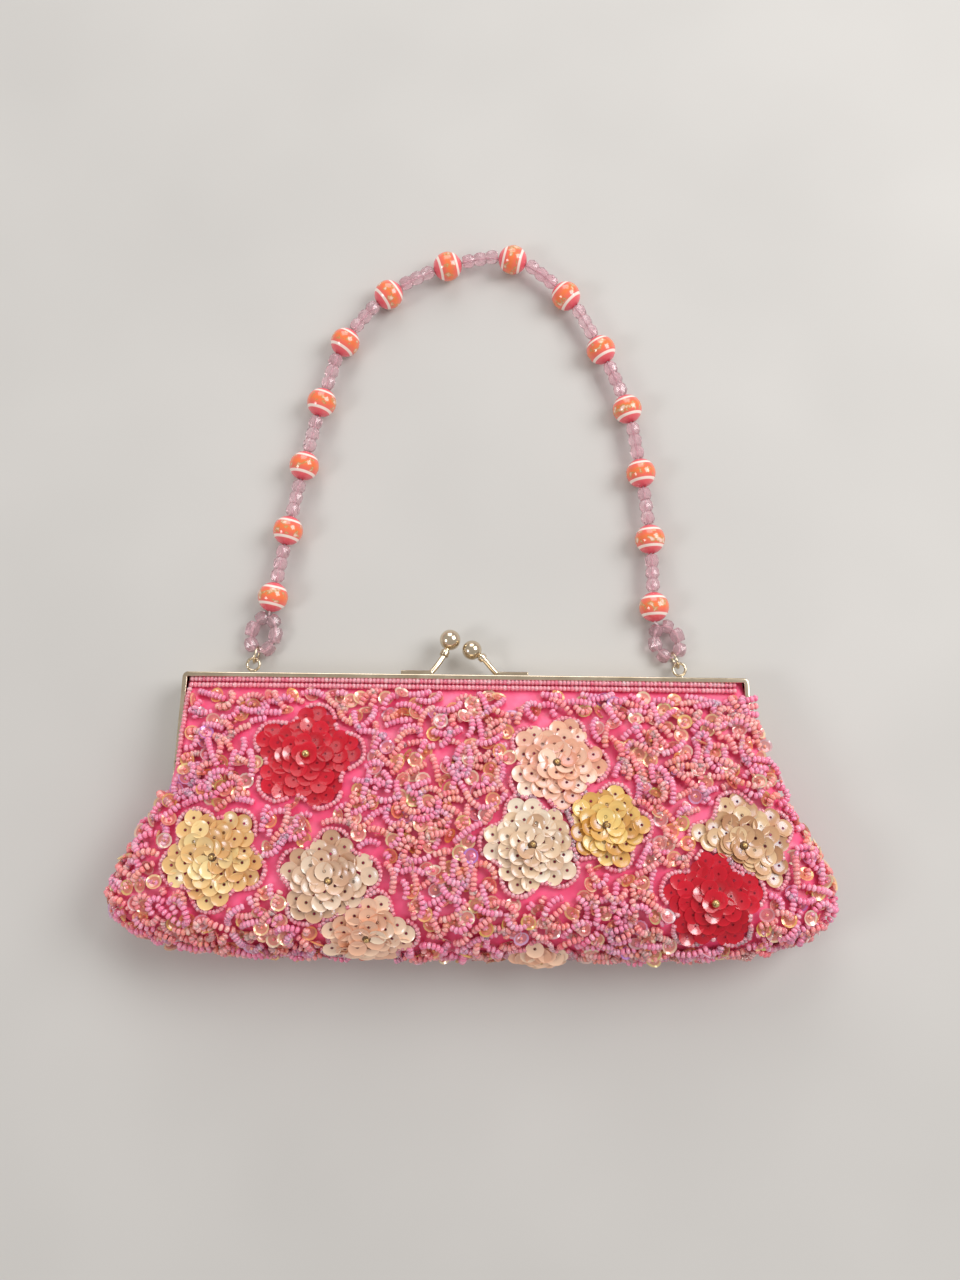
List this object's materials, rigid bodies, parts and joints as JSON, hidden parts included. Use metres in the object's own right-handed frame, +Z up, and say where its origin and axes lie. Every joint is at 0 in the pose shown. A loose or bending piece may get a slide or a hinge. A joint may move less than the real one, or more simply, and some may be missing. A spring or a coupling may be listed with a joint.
{
  "type": "beaded kiss-lock clutch handbag",
  "caption": "Soft hinged-frame evening clutch covered in bead and sequin embroidery, with raised sequin flowers, a kiss-lock clasp and a bead-string handle, lying on its back.",
  "frame": {"origin": "on the surface it lies on, under the middle of its box", "axes": "+X along the frame's rail, +Y from the base to the handle, +Z up from the surface, out of the front face"},
  "size_m": [0.2248, 0.2428, 0.0313],
  "materials": {
    "beaded_satin": "hot pink satin with glass seed beads and clear sequins",
    "nickel": "bright nickel plate",
    "pearl_sequin": "pearly cup sequins",
    "red_sequin": "glossy clear red sequins",
    "striped_bead": "glossy coral resin with cream stripes",
    "clear_bead": "faceted clear pink"
  },
  "bodies": {
    "root": {"pouch_front": "beaded_satin", "pouch_back": "beaded_satin", "frame_front": "nickel", "frame_back": "nickel", "hinge_rivet_left": "nickel", "hinge_rivet_right": "nickel", "jump_ring_left": "nickel", "jump_ring_right": "nickel", "bead_string": "clear_bead", "flower_red_upper": "red_sequin", "flower_gold_left": "pearl_sequin", "flower_taupe": "pearl_sequin", "flower_peach_lower": "pearl_sequin", "flower_peach_upper": "pearl_sequin", "flower_cream": "pearl_sequin", "flower_gold_middle": "pearl_sequin", "flower_beige": "pearl_sequin", "flower_red_lower": "red_sequin", "flower_peach_base": "pearl_sequin", "bead_round_01": "striped_bead", "bead_round_02": "striped_bead", "bead_round_03": "striped_bead", "bead_round_04": "striped_bead", "bead_round_05": "striped_bead", "bead_round_06": "striped_bead", "bead_round_07": "striped_bead", "bead_round_08": "striped_bead", "bead_round_09": "striped_bead", "bead_round_10": "striped_bead", "bead_round_11": "striped_bead", "bead_round_12": "striped_bead", "bead_round_13": "striped_bead", "bead_round_14": "striped_bead"}
  },
  "joints": []
}
